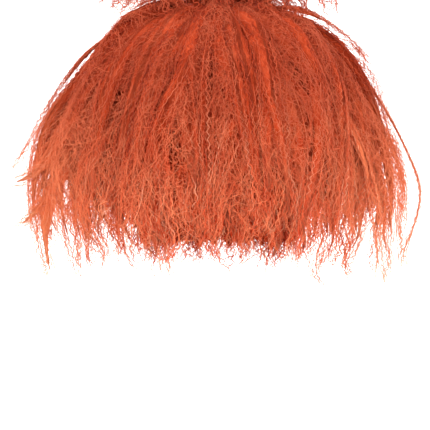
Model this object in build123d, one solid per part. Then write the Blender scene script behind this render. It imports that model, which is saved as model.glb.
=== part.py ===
from build123d import *

import os
from functools import cache
from math import cos, hypot, radians, sin, sqrt

# A costume wig: a stretch cap with wefts sewn to it, two adjusters at the nape, and full crimped hair.
# Millimetres. The wearer's face looks along -Y, +Z is up and +X is the wearer's left.
# The origin is on the head's axis, level with the tops of the ears.
# A bearing is an angle in plan, in degrees from the back of the head (+Y), positive towards +X.

# The head that the cap fits: an ellipsoid about the origin.
HEAD_HALF_WIDTH = 77.0
HEAD_HALF_LENGTH = 95.0
CROWN_HEIGHT = 125.0

# The cap.
GAP = 0.7
NET_THICK = 1.0
BAND_THICK = 1.2
HAIRLINE_HEIGHT = 70.0
HAIRLINE_SLOPE = 0.9
FRONT_BAND_WIDE = 18.0
NET_LOW = 60.0
SEAM_HEIGHT = 20.0
TAB_FRONT, TAB_BACK, TAB_LOW = -45.5, -14.0, -26.0
STAY_LONG, STAY_WIDE, STAY_THICK = 34.0, 4.0, 0.9
BAND_LOW, BAND_HIGH = -59.0, -43.0
RIBBON_WIDE = 8.0
RIBBON_BEARINGS = range(-75, 76, 25)
PATCH_LOW = 119.0

# The weft tracks, on the outside of the ribbons and the net.
WEFT_LIFT = 1.3
WEFT_THICK = 1.2
WEFT_TALL = 3.0
WEFT_ROWS = range(-34, 51, 14)
WEFT_RINGS = (72.0, 88.0, 102.0, 112.0)

# The nape adjusters run round an upright axis, where the band's curve at the back has its centre.
NAPE_MID = (BAND_LOW + BAND_HIGH) / 2
PAD_THICK = 1.2
HOOK_THICK = 1.2
STRAP_THICK = 1.0
RUNNING_GAP = 0.3
PAD_BEARINGS = (2.0, 42.0)
HOOK_BEARINGS = (20.0, 39.5)
END_BEARINGS = (39.8, 44.0)
STRAP_BEARINGS = (44.3, 62.0)

# The hair.
HAIR_HALF_WIDTH = 222.0
HAIR_DEPTH_BACK = 190.0
HAIR_DEPTH_FRONT = 168.0
HAIR_TOP = 216.0
SHOULDER_HEIGHT = 198.0
LOCK_GAP = 1.6
FACE_BEARING = 142.0
OUTER_LOCKS = 13
INNER_LOCKS = 11
NAPE_LOCKS = 5
CROWN_LOCKS = 8
ROOT_HEIGHT = 95.0
TIP_HEIGHT = -112.0
INNER_TIP_HEIGHT = -104.0
NAPE_TIP_HEIGHT = -96.0


def save(name, shape):
    export_step(shape, f"parts/{name}.step")


def side(bearing):
    return "left" if bearing > 0 else "right"


# ---------------------------------------------------------------- the cap


@cache
def skin(lift, thick):
    """A skin over the whole head, lift outside its surface."""
    def form(out):
        return scale(Sphere(1), by=(HEAD_HALF_WIDTH + out, HEAD_HALF_LENGTH + out, CROWN_HEIGHT + out))

    return form(lift + thick) - form(lift)


def seen_from_side(*points, half=None):
    """Everything within an outline drawn in side view, on one side of the head or on both."""
    face = Plane.YZ * make_face(Polyline(*points, close=True))
    if half is None:
        return extrude(face, HEAD_HALF_LENGTH, both=True)
    return extrude(face, HEAD_HALF_LENGTH if half == "left" else -HEAD_HALF_LENGTH)


def upright_slab(bearing, wide, low, high):
    """A slab that stands across the head's surface at one bearing."""
    out = HEAD_HALF_LENGTH
    return Rotation(0, 0, -bearing) * Pos(0, out, (low + high) / 2) * Box(wide, out, high - low)


def hairline(y, behind=0.0):
    """The height of the hairline in side view, or of a line some way behind it."""
    front = -HEAD_HALF_LENGTH * sqrt(1 - (HAIRLINE_HEIGHT / CROWN_HEIGHT) ** 2)
    rise = behind * hypot(1, HAIRLINE_SLOPE)
    return HAIRLINE_HEIGHT + rise - HAIRLINE_SLOPE * (y - front)


FAR = -HEAD_HALF_LENGTH - 15
NET_FRONT = TAB_BACK - (NET_LOW - hairline(TAB_BACK, FRONT_BAND_WIDE)) / HAIRLINE_SLOPE

# The edge round the ear in side view, from the front band down to the nape band.
EAR_LOWER = ((TAB_BACK + GAP, 21), (10, 10), (28, -9), (47, BAND_HIGH + GAP))
EAR_UPPER = ((58, BAND_HIGH + GAP), (38, 0), (16, 21), (TAB_BACK + GAP, 32))


def front_band():
    outline = (
        (FAR, hairline(FAR)),
        (TAB_FRONT, hairline(TAB_FRONT)),
        (TAB_FRONT, SEAM_HEIGHT + GAP),
        (TAB_BACK, SEAM_HEIGHT + GAP),
        (TAB_BACK, hairline(TAB_BACK, FRONT_BAND_WIDE)),
        (FAR, hairline(FAR, FRONT_BAND_WIDE)),
    )
    return skin(0, BAND_THICK) & seen_from_side(*outline)


def behind_front_band():
    """Two points along the front band's rear edge, where the net and the open back start."""
    behind = FRONT_BAND_WIDE + GAP
    return (NET_FRONT, hairline(NET_FRONT, behind)), (TAB_BACK + GAP, hairline(TAB_BACK + GAP, behind))


def crown_net():
    top = CROWN_HEIGHT + 15
    outline = (
        (FAR, hairline(FAR, FRONT_BAND_WIDE + GAP)),
        (NET_FRONT, NET_LOW),
        (-FAR, NET_LOW),
        (-FAR, top),
        (FAR, top),
    )
    return skin(0, NET_THICK) & seen_from_side(*outline)


def crown_patch():
    disc = Pos(0, 0, PATCH_LOW) * Cylinder(HEAD_HALF_WIDTH, 30, align=(Align.CENTER, Align.CENTER, Align.MIN))
    return skin(NET_THICK + RUNNING_GAP, NET_THICK) & disc


def ear_tab(half):
    top = SEAM_HEIGHT - GAP
    corner = 7
    outline = (
        (TAB_FRONT, top),
        (TAB_BACK, top),
        (TAB_BACK - 3, TAB_LOW + corner),
        (TAB_BACK - corner - 3, TAB_LOW),
        (TAB_FRONT + corner + 3, TAB_LOW),
        (TAB_FRONT + 3, TAB_LOW + corner),
    )
    return skin(0, BAND_THICK) & seen_from_side(*outline, half=half)


def ear_tab_stay(half):
    middle = (TAB_FRONT + TAB_BACK) / 2
    low = TAB_LOW + 6
    outline = (
        (middle - STAY_WIDE / 2, low),
        (middle + STAY_WIDE / 2, low),
        (middle + STAY_WIDE / 2, low + STAY_LONG),
        (middle - STAY_WIDE / 2, low + STAY_LONG),
    )
    return skin(-STAY_THICK - RUNNING_GAP, STAY_THICK) & seen_from_side(*outline, half=half)


def side_elastic(half):
    return skin(0, BAND_THICK) & seen_from_side(*EAR_LOWER, *EAR_UPPER, half=half)


def nape_band():
    outline = ((EAR_LOWER[-1][0] + 1, BAND_HIGH), (-FAR, BAND_HIGH), (-FAR, BAND_LOW), (54, BAND_LOW))
    return skin(0, BAND_THICK) & seen_from_side(*outline)


def open_back():
    """The part of the head that only ribbons and wefts cover, in side view."""
    ear = tuple((y + GAP, z + GAP) for y, z in EAR_UPPER)
    front = behind_front_band()
    outline = (*ear, front[1], front[0], (NET_FRONT, NET_LOW - GAP), (-FAR, NET_LOW - GAP), (-FAR, ear[0][1]))
    return seen_from_side(*outline)


def ribbon(bearing):
    strip = skin(0, NET_THICK) & upright_slab(bearing, RIBBON_WIDE, BAND_LOW, NET_LOW)
    return strip & open_back()


def weft_ring(height, region):
    level = Pos(0, 0, height) * Box(2 * -FAR, 2 * -FAR, WEFT_TALL)
    return skin(WEFT_LIFT, WEFT_THICK) & level & region


def front_weft():
    near, far = FRONT_BAND_WIDE / 2, FRONT_BAND_WIDE / 2 + WEFT_TALL
    outline = (
        (FAR, hairline(FAR, near)),
        (TAB_BACK - 4, hairline(TAB_BACK - 4, near)),
        (TAB_BACK - 4, hairline(TAB_BACK - 4, far)),
        (FAR, hairline(FAR, far)),
    )
    return skin(BAND_THICK + RUNNING_GAP, WEFT_THICK) & seen_from_side(*outline)


def nape_weft():
    low, high = NAPE_MID - WEFT_TALL / 2, NAPE_MID + WEFT_TALL / 2
    outline = ((56, high), (-FAR, high), (-FAR, low), (56, low))
    return skin(BAND_THICK + RUNNING_GAP, WEFT_THICK) & seen_from_side(*outline)


def size_label():
    plate = upright_slab(0, 24, -8, 5)
    return skin(-1.0, 0.5) & plate


# ---------------------------------------------------------------- the nape adjusters


def nape_curve():
    """The centre and radius of the nape band's curve at the back, and how fast it closes in below."""
    shrink = sqrt(1 - (NAPE_MID / CROWN_HEIGHT) ** 2)
    half_width, half_length = HEAD_HALF_WIDTH * shrink, HEAD_HALF_LENGTH * shrink
    radius = half_width**2 / half_length
    slope = -HEAD_HALF_LENGTH * NAPE_MID / (CROWN_HEIGHT**2 * shrink)
    return half_length - radius, radius, slope


def nape_arc(inset, thick, tall, bearings, half):
    """A strip that follows the band's inside, from one bearing to another about the curve's centre."""
    centre, radius, slope = nape_curve()
    start, end = bearings

    def corner(out, up):
        return radius - inset + out + slope * up, NAPE_MID + up

    start_plane = Plane(
        origin=(0, centre, 0),
        x_dir=(sin(radians(start)), cos(radians(start)), 0),
        z_dir=(cos(radians(start)), -sin(radians(start)), 0),
    )
    points = (corner(0, -tall / 2), corner(thick, -tall / 2), corner(thick, tall / 2), corner(0, tall / 2))
    face = start_plane * make_face(Polyline(*points, close=True))
    strip = revolve(face, Axis((0, centre, 0), (0, 0, -1)), end - start)
    return strip if half == "left" else mirror(strip, Plane.YZ)


PAD_INSET = PAD_THICK + 0.6
HOOK_INSET = PAD_INSET + RUNNING_GAP + HOOK_THICK


def loop_pad(half):
    return nape_arc(PAD_INSET, PAD_THICK, 12, PAD_BEARINGS, half)


def hook_tab(half):
    return nape_arc(HOOK_INSET, HOOK_THICK, 11, HOOK_BEARINGS, half)


def adjuster_end(half):
    return nape_arc(HOOK_INSET + 0.4, HOOK_THICK + 0.4, 11, END_BEARINGS, half)


def adjuster_strap(half):
    return nape_arc(HOOK_INSET, STRAP_THICK, 9, STRAP_BEARINGS, half)


# ---------------------------------------------------------------- the hair


def head_reach(bearing, height, spread):
    """The head's radius at a height, at its widest within a spread of bearings."""
    def radius(angle):
        across = hypot(sin(radians(angle)) / HEAD_HALF_WIDTH, cos(radians(angle)) / HEAD_HALF_LENGTH)
        return sqrt(1 - (height / CROWN_HEIGHT) ** 2) / across

    return max(radius(bearing - spread), radius(bearing + spread))


def hair_reach(bearing):
    """How far the outer hair stands from the head's axis."""
    depth = HAIR_DEPTH_BACK if abs(bearing) < 90 else HAIR_DEPTH_FRONT
    return 1 / hypot(sin(radians(bearing)) / HAIR_HALF_WIDTH, cos(radians(bearing)) / depth)


def lock(profile, bearing, spread, taper=None):
    """A lock: a profile in the upright plane at one bearing, as wide as its wedge, and narrower below."""
    half_width = 120
    out = 300
    plane = Plane(
        origin=(0, 0, 0),
        x_dir=(sin(radians(bearing)), cos(radians(bearing)), 0),
        z_dir=(cos(radians(bearing)), -sin(radians(bearing)), 0),
    )
    body = extrude(plane * make_face(profile), half_width, both=True)
    across = out * sin(radians(spread))
    wedge_face = make_face(Polyline((0, LOCK_GAP), (across, out), (-across, out), close=True))
    wedge = extrude(Rotation(0, 0, -bearing) * wedge_face, out, both=True)
    body = body & wedge
    if taper:
        start, end, top_half, tip_half = taper
        tongue = Polyline(
            (-top_half, HAIR_TOP + 1),
            (top_half, HAIR_TOP + 1),
            (top_half, start),
            (tip_half, end),
            (-tip_half, end),
            (-top_half, start),
            close=True,
        )
        facing = Plane(
            origin=(0, 0, 0),
            x_dir=(cos(radians(bearing)), -sin(radians(bearing)), 0),
            z_dir=(-sin(radians(bearing)), -cos(radians(bearing)), 0),
        )
        body = body & extrude(facing * make_face(tongue), -out)
    return body


def uneven(number, most):
    """A repeatable difference from lock to lock, from 0 to most."""
    return most * (1 + sin(2.4 * number + 0.7)) / 2


def outer_lock(number, bearing, spread):
    """A fall that leaves the crown, arches over the inner hair and hangs at the outside."""
    reach = hair_reach(bearing)
    shoulder = -45 + uneven(number, 24)
    tip = TIP_HEIGHT + uneven(number, 16)
    outline = (
        ThreePointArc((0.37 * reach, SHOULDER_HEIGHT), (0.86 * reach, 85), (reach, shoulder)),
        Polyline((reach, shoulder), (0.94 * reach, tip), (0.80 * reach, tip), (0.75 * reach, -45)),
        ThreePointArc((0.75 * reach, -45), (0.66 * reach, 70), (0.28 * reach, SHOULDER_HEIGHT - 40)),
        Line((0.28 * reach, SHOULDER_HEIGHT - 40), (0.37 * reach, SHOULDER_HEIGHT)),
    )
    half = reach * sin(radians(spread))
    return lock(outline, bearing, spread, (shoulder + 40, tip, half, 0.3 * half))


def inner_lock(number, bearing, spread):
    """A fall from the upper weft rows that hangs under the outer hair, clear of the ears."""
    reach = min(hair_reach(bearing - spread), hair_reach(bearing + spread))
    tip = INNER_TIP_HEIGHT + uneven(number + 3, 14)
    root = head_reach(bearing, ROOT_HEIGHT, spread) + 15
    beside_ear = HEAD_HALF_LENGTH + 9
    outline = (
        Line((root, ROOT_HEIGHT), (0.42 * reach, ROOT_HEIGHT + 30)),
        ThreePointArc((0.42 * reach, ROOT_HEIGHT + 30), (0.60 * reach, 70), (0.71 * reach, -45)),
        Polyline((0.71 * reach, -45), (0.70 * reach, tip), (0.60 * reach, tip), (0.60 * reach, -60)),
        ThreePointArc((0.60 * reach, -60), (beside_ear, 0), (root, ROOT_HEIGHT)),
    )
    half = 0.66 * reach * sin(radians(spread))
    return lock(outline, bearing, spread, (-30, tip, half, 0.45 * half))


def nape_lock(number, bearing, spread):
    """A short tuft that hangs from the rows above the nape band and over its outside."""
    tip = NAPE_TIP_HEIGHT + uneven(number + 1, 10)
    root = HEAD_HALF_LENGTH + 5
    outline = Polyline(
        (root - 2, -18),
        (root + 1, -18),
        (root + 4, -50),
        (root, tip),
        (root - 14, tip),
        (root - 10, -62),
        (root - 7, -46),
        close=True,
    )
    half = root * sin(radians(spread))
    return lock(outline, bearing, spread, (-60, tip, half, 0.5 * half))


def crown_lock(bearing, spread):
    """A wedge of the raised hair over the crown."""
    reach = min(hair_reach(bearing - spread), hair_reach(bearing + spread), hair_reach(bearing))
    shoulder = 0.35 * reach * cos(radians(spread))
    outline = (
        ThreePointArc((2, HAIR_TOP), (0.6 * shoulder, HAIR_TOP - 5), (shoulder, SHOULDER_HEIGHT)),
        Polyline((shoulder, SHOULDER_HEIGHT), (0.72 * shoulder, 152), (42, 124), (2, 131), (2, HAIR_TOP)),
    )
    return lock(outline, bearing, spread)


def front_lock(bearing, spread):
    """Hair that rises from the front band and rolls back to the crown."""
    reach = hair_reach(bearing)
    root = head_reach(bearing, 84, spread) + 7
    outline = (
        ThreePointArc((0.37 * reach, SHOULDER_HEIGHT), (0.72 * reach, 152), (0.72 * reach, 98)),
        Polyline((0.72 * reach, 98), (root + 20, 80), (root, 84)),
        ThreePointArc((root, 84), (0.42 * reach, 128), (0.28 * reach, SHOULDER_HEIGHT - 40)),
        Line((0.28 * reach, SHOULDER_HEIGHT - 40), (0.37 * reach, SHOULDER_HEIGHT)),
    )
    return lock(outline, bearing, spread)


def fan(count, first, last):
    """The bearings of evenly spaced locks, and half the angle that each one has."""
    spread = (last - first) / count / 2
    return [(number, first + spread * (2 * number + 1)) for number in range(count)], spread


def section(bearing, limits, names):
    """The name of the section that a lock belongs to, from the back round to the front."""
    for limit, name in zip(limits, names):
        if abs(bearing) < limit:
            return name if name == names[0] else f"{name}_{side(bearing)}"


def save_sections(prefix, make, count, limits, names):
    fans, spread = fan(count, -FACE_BEARING, FACE_BEARING)
    sections = {}
    for number, bearing in fans:
        name = section(bearing, limits, names)
        sections.setdefault(name, []).append(make(number, bearing, spread))
    for name, locks in sections.items():
        save(f"{prefix}_{name}", Compound(children=locks))


def save_cap():
    save("front_band", front_band())
    save("crown_net", crown_net())
    save("crown_patch", crown_patch())
    save("nape_band", nape_band())
    save("size_label", size_label())
    for half in ("left", "right"):
        save(f"ear_tab_{half}", ear_tab(half))
        save(f"ear_tab_stay_{half}", ear_tab_stay(half))
        save(f"side_elastic_{half}", side_elastic(half))
        save(f"loop_pad_{half}", loop_pad(half))
        save(f"hook_tab_{half}", hook_tab(half))
        save(f"adjuster_end_{half}", adjuster_end(half))
        save(f"adjuster_strap_{half}", adjuster_strap(half))
    for number, bearing in enumerate(RIBBON_BEARINGS, 1):
        save(f"weft_ribbon_{number}", ribbon(bearing))


def save_wefts():
    back = open_back()
    everywhere = Box(400, 400, 400)
    for number, height in enumerate(WEFT_ROWS, 1):
        save(f"weft_row_{number}", weft_ring(height, back))
    for number, height in enumerate(WEFT_RINGS, 1):
        save(f"crown_weft_{number}", weft_ring(height, crown_region() if height < 100 else everywhere))
    save("front_weft", front_weft())
    save("nape_weft", nape_weft())


def crown_region():
    """What lies behind the front band, for the rings that would cross it."""
    top = CROWN_HEIGHT + 15
    behind = FRONT_BAND_WIDE + GAP
    return seen_from_side((FAR, hairline(FAR, behind)), (0, hairline(0, behind)), (-FAR, 0), (-FAR, top), (FAR, top))


def save_hair():
    save_sections("outer_hair", outer_lock, OUTER_LOCKS, (34, 78, 121, 180), ("back", "rear", "side", "front"))
    save_sections("inner_hair", inner_lock, INNER_LOCKS, (40, 92, 180), ("back", "side", "front"))
    fans, spread = fan(NAPE_LOCKS, -52, 52)
    save("nape_hair", Compound(children=[nape_lock(number, bearing, spread) for number, bearing in fans]))
    fans, spread = fan(CROWN_LOCKS, -180, 180)
    save("crown_hair", Compound(children=[crown_lock(bearing, spread) for _, bearing in fans]))
    fans, spread = fan(4, FACE_BEARING, 360 - FACE_BEARING)
    for half, pair in (("left", fans[:2]), ("right", fans[2:])):
        save(f"front_hair_{half}", Compound(children=[front_lock(bearing, spread) for _, bearing in pair]))


os.makedirs("parts", exist_ok=True)
save_cap()
save_wefts()
save_hair()
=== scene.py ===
import math

import bmesh
import bpy
import numpy as np
from mathutils import Matrix, Vector


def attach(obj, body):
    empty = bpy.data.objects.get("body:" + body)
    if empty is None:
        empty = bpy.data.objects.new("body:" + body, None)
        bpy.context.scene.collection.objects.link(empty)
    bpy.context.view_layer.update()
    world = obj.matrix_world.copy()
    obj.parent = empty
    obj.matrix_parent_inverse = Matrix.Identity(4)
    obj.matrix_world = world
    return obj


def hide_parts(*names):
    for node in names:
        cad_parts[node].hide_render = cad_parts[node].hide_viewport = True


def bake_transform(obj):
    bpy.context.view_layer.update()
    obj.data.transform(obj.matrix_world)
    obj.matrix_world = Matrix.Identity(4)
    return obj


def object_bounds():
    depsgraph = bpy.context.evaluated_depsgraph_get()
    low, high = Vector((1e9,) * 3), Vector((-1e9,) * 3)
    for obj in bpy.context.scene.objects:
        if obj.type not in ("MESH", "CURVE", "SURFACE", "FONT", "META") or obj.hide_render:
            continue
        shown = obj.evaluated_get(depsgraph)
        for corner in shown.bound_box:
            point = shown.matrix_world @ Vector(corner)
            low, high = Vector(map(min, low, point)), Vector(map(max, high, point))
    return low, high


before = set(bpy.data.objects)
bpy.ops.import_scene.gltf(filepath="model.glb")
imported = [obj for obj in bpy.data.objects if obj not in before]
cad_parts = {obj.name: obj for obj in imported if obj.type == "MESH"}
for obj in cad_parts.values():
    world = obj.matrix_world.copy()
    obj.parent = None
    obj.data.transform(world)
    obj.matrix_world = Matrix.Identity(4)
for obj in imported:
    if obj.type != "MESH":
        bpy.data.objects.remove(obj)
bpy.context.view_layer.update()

scene = bpy.context.scene
scene.view_settings.view_transform = "Standard"

# ---------------------------------------------------------------------------
# Studio: a seamless pale paper sweep, three large soft boxes with a fourth light on the paper,
# a bright white room, and a camera behind the wig, a little above ear level.
# ---------------------------------------------------------------------------
FLOOR_DROP = 0.30
SWEEP_RADIUS = 1.2
CAMERA_AWAY = 2.3
VIEW_WIDE = 0.4945
VIEW_MIDDLE = (0.0046, -0.046)
CAMERA_RISE = math.radians(3)
PAPER_HALF_WIDE = 4.0
PAPER_NEAR = 3.5
PAPER_RUN = 9.0
PAPER_RISE = 4.0


def linear(code):
    """An sRGB hex colour as linear RGBA."""
    channels = [int(code[i:i + 2], 16) / 255 for i in (1, 3, 5)]
    return [c / 12.92 if c <= 0.04045 else ((c + 0.055) / 1.055) ** 2.4 for c in channels] + [1.0]


def add_node(tree, kind, settings=None, inputs=None):
    """A shader node with its settings, and with its inputs as values or links."""
    node = tree.nodes.new("ShaderNode" + kind)
    for name, value in (settings or {}).items():
        setattr(node, name, value)
    for name, value in (inputs or {}).items():
        if isinstance(value, bpy.types.NodeSocket):
            tree.links.new(value, node.inputs[name])
        else:
            node.inputs[name].default_value = value
    return node


def new_material(name):
    material = bpy.data.materials.new(name)
    material.use_nodes = True
    return material, material.node_tree, material.node_tree.nodes["Principled BSDF"]


paper, tree, surface = new_material("matt_white_paper_sweep")
surface.inputs["Base Color"].default_value = linear("#F6F5F3")
surface.inputs["Roughness"].default_value = 0.9
floor_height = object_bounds()[0][2] - FLOOR_DROP
sweep = bmesh.new()
edge = [sweep.verts.new((x, PAPER_NEAR, floor_height)) for x in (-PAPER_HALF_WIDE, PAPER_HALF_WIDE)]
strip = sweep.edges.new(edge)
run = bmesh.ops.extrude_edge_only(sweep, edges=[strip])["geom"]
bmesh.ops.translate(sweep, verts=[v for v in run if isinstance(v, bmesh.types.BMVert)],
                    vec=(0, -PAPER_RUN, 0))
arc = [e for e in run if isinstance(e, bmesh.types.BMEdge)]
bmesh.ops.spin(
    sweep, geom=arc, cent=(0, PAPER_NEAR - PAPER_RUN, floor_height + SWEEP_RADIUS), axis=(1, 0, 0),
    angle=-math.radians(90), steps=24, use_merge=False,
)
top_edge = [e for e in sweep.edges if all(v.co.z > floor_height + SWEEP_RADIUS - 0.001 for v in e.verts)]
wall = bmesh.ops.extrude_edge_only(sweep, edges=top_edge)["geom"]
bmesh.ops.translate(sweep, verts=[v for v in wall if isinstance(v, bmesh.types.BMVert)],
                    vec=(0, 0, PAPER_RISE))
sweep_mesh = bpy.data.meshes.new("paper_sweep")
sweep.to_mesh(sweep_mesh)
sweep.free()
sweep_mesh.materials.append(paper)
backdrop = bpy.data.objects.new("paper_sweep", sweep_mesh)
scene.collection.objects.link(backdrop)

world = bpy.data.worlds.new("white_room")
world.use_nodes = True
world.node_tree.nodes["Background"].inputs["Color"].default_value = linear("#FFFFFF")
world.node_tree.nodes["Background"].inputs["Strength"].default_value = 1.0
scene.world = world


def soft_box(name, place, size, power):
    light = bpy.data.lights.new(name, "AREA")
    light.shape = "SQUARE"
    light.size = size
    light.energy = power
    lamp = bpy.data.objects.new(name, light)
    lamp.location = place
    lamp.rotation_euler = (-Vector(place)).to_track_quat("-Z", "Y").to_euler()
    scene.collection.objects.link(lamp)


soft_box("key_soft_box", (1.5, 1.7, 1.5), 1.1, 34)
soft_box("fill_soft_box", (-1.6, 1.5, 1.2), 1.2, 26)
soft_box("front_soft_box", (0.2, -1.9, 1.3), 1.2, 20)
soft_box("backdrop_light", (0, -3.2, 1.6), 2.0, 160)
bpy.data.objects["backdrop_light"].rotation_euler = (math.radians(70), 0, math.radians(180))

camera_data = bpy.data.cameras.new("camera")
camera_data.sensor_width = 36
camera_data.lens = 36 * CAMERA_AWAY / VIEW_WIDE
camera_data.clip_end = 50
camera = bpy.data.objects.new("camera", camera_data)
target = Vector((VIEW_MIDDLE[0], 0, VIEW_MIDDLE[1]))
camera.location = target + CAMERA_AWAY * Vector((0, math.cos(CAMERA_RISE), math.sin(CAMERA_RISE)))
camera.rotation_euler = (target - camera.location).to_track_quat("-Z", "Y").to_euler()
scene.collection.objects.link(camera)
scene.camera = camera

# ---------------------------------------------------------------------------
# Front band: brushed tricot, folded double and topstitched, along the hairline from ear to ear.
# The whole cap is cut to the head's shape, so its cloths start as one form of the head.
# ---------------------------------------------------------------------------
HEAD = np.array((0.077, 0.095, 0.125))
CELLS = 40
GAP = 0.0007
BAND_THICK = 0.0012
BAND_WIDE = 0.018
HAIRLINE_HEIGHT = 0.070
HAIRLINE_SLOPE = 0.9
FAR = -0.110
ABOVE_HEAD = 0.14
MAP_RADIUS = 0.085
THREAD_OUT = 0.0001
FACES = (-THREAD_OUT, BAND_THICK + THREAD_OUT)
TAB_FRONT, TAB_BACK, TAB_LOW, SEAM_HEIGHT = -0.0455, -0.014, -0.026, 0.020


def hairline(y, behind=0.0):
    """The height of the hairline in side view, or of a line some way behind it."""
    front = -HEAD[1] * math.sqrt(1 - (HAIRLINE_HEIGHT / HEAD[2]) ** 2)
    return HAIRLINE_HEIGHT + behind * math.hypot(1, HAIRLINE_SLOPE) - HAIRLINE_SLOPE * (y - front)


def within(outline, y, z):
    """Whether a place in side view lies inside an outline."""
    inside = False
    for (y1, z1), (y2, z2) in zip(outline, outline[1:] + outline[:1]):
        if (z1 > z) != (z2 > z) and y < y1 + (z - z1) / (z2 - z1) * (y2 - y1):
            inside = not inside
    return inside


def cut_from_head(outline, lift, half=0, slab=None):
    """The head's form, lift outside it, cut to an outline in side view, on one side or both,
    or to an upright slab."""
    form = bmesh.new()
    bmesh.ops.create_cube(form, size=2)
    bmesh.ops.subdivide_edges(form, edges=form.edges, cuts=CELLS - 1, use_grid_fill=True)
    for v in form.verts:
        v.co.normalize()
    bmesh.ops.rotate(form, verts=form.verts, matrix=Matrix.Rotation(math.radians(45), 3, "Z"))
    bmesh.ops.scale(form, verts=form.verts, vec=Vector(HEAD + lift))
    cuts = [((0, y1, z1), (0, z2 - z1, y1 - y2))
            for (y1, z1), (y2, z2) in zip(outline, outline[1:] + outline[:1])]
    if slab:
        turn, wide = math.radians(slab[0]), slab[1]
        facing = Vector((math.cos(turn), -math.sin(turn), 0))
        cuts += [(facing * wide / 2, facing), (-facing * wide / 2, facing)]
    for place, facing in cuts:
        bmesh.ops.bisect_plane(form, geom=form.verts[:] + form.edges[:] + form.faces[:], plane_co=place,
                               plane_no=facing)
    spare = []
    for f in form.faces:
        middle = f.calc_center_median()
        keep = within(outline, middle.y, middle.z) and middle.x * half >= 0
        if slab and keep:
            turn = math.radians(slab[0])
            keep = abs(middle.x * math.cos(turn) - middle.y * math.sin(turn)) < slab[1] / 2
            keep = keep and middle.x * math.sin(turn) + middle.y * math.cos(turn) > 0
        if not keep:
            spare.append(f)
    bmesh.ops.delete(form, geom=spare, context="FACES")
    return form


def cloth_piece(name, form, thick, material, body="wig", node=None, wire=False):
    """A cut of cloth as a piece with its thickness inwards, and a map in metres: along the head, then up."""
    mesh = bpy.data.meshes.new(name)
    form.to_mesh(mesh)
    form.free()
    cloth_map = mesh.uv_layers.new(name="cloth")
    for loop in mesh.loops:
        x, y, z = mesh.vertices[loop.vertex_index].co
        cloth_map.data[loop.index].uv = (math.atan2(x, y + 1e-9) * MAP_RADIUS, z)
    mesh.materials.append(material)
    mesh.shade_smooth()
    piece = bpy.data.objects.new(name, mesh)
    scene.collection.objects.link(piece)
    if wire:
        wall = piece.modifiers.new("filaments", "WIREFRAME")
        wall.thickness, wall.use_even_offset, wall.use_boundary = thick, True, True
    elif thick:
        wall = piece.modifiers.new("thickness", "SOLIDIFY")
        wall.thickness, wall.offset = thick, -1
    if body:
        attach(piece, body)
    if node:
        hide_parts(node)
    return piece


def cloth_material(name, dark, light, grain, depth, rough, rib=0.0, rib_way="X"):
    """A cloth in two near tones, with a nap or thread of the given size in metres, and ribs if
    it is knitted in ribs."""
    material, tree, surface = new_material(name)
    place = add_node(tree, "TexCoord").outputs["Object"]
    nap = add_node(tree, "TexNoise", {}, {"Vector": place, "Scale": 1 / grain, "Detail": 3.0})
    wear = add_node(tree, "TexNoise", {}, {"Vector": place, "Scale": 40.0, "Detail": 2.0})
    height = nap.outputs["Fac"]
    if rib:
        ways = add_node(tree, "SeparateXYZ", {},
                        {"Vector": add_node(tree, "UVMap", {"uv_map": "cloth"}).outputs["UV"]})
        phase = add_node(tree, "Math", {"operation": "MULTIPLY"},
                         {0: ways.outputs[rib_way], 1: 2 * math.pi / rib})
        wave = add_node(tree, "Math", {"operation": "SINE"}, {0: phase.outputs[0]})
        height = add_node(tree, "Math", {"operation": "MULTIPLY_ADD"},
                          {0: wave.outputs[0], 1: 0.35, 2: height}).outputs[0]
    mixed = add_node(tree, "Math", {"operation": "MULTIPLY_ADD"}, {0: wear.outputs["Fac"], 1: 0.5, 2: height})
    ramp = add_node(tree, "ValToRGB", {}, {"Fac": mixed.outputs[0]})
    ramp.color_ramp.elements[0].position, ramp.color_ramp.elements[1].position = 0.35, 1.15 if rib else 1.0
    ramp.color_ramp.elements[0].color, ramp.color_ramp.elements[1].color = linear(dark), linear(light)
    tree.links.new(ramp.outputs["Color"], surface.inputs["Base Color"])
    bump = add_node(tree, "Bump", {}, {"Height": height, "Strength": 1.0, "Distance": depth})
    tree.links.new(bump.outputs["Normal"], surface.inputs["Normal"])
    surface.inputs["Roughness"].default_value = rough
    surface.inputs["Sheen Weight"].default_value = 0.08
    surface.inputs["Specular IOR Level"].default_value = 0.15
    return material


def profile(name, points):
    """A closed outline that strands are drawn along."""
    curve = bpy.data.curves.new(name, "CURVE")
    curve.dimensions = "2D"
    spline = curve.splines.new("POLY")
    spline.points.add(points - 1)
    for n in range(points):
        turn = -2 * math.pi * n / points
        spline.points[n].co = (math.cos(turn), math.sin(turn), 0, 1)
    spline.use_cyclic_u = True
    shape = bpy.data.objects.new(name, curve)
    scene.collection.objects.link(shape)
    return shape


def finish_piece(name, mesh, material, attributes, body="wig"):
    """A mesh as a welded piece of the wig, with values for each point."""
    for title, values in attributes.items():
        layer = mesh.attributes.new(title, "FLOAT", "POINT")
        layer.data.foreach_set("value", np.asarray(values, dtype=np.float32))
    weld = bmesh.new()
    weld.from_mesh(mesh)
    bmesh.ops.remove_doubles(weld, verts=weld.verts, dist=1e-6)
    weld.to_mesh(mesh)
    weld.free()
    mesh.materials.clear()
    mesh.materials.append(material)
    mesh.shade_smooth()
    piece = bpy.data.objects.new(name, mesh)
    scene.collection.objects.link(piece)
    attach(piece, body)
    return piece


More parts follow.
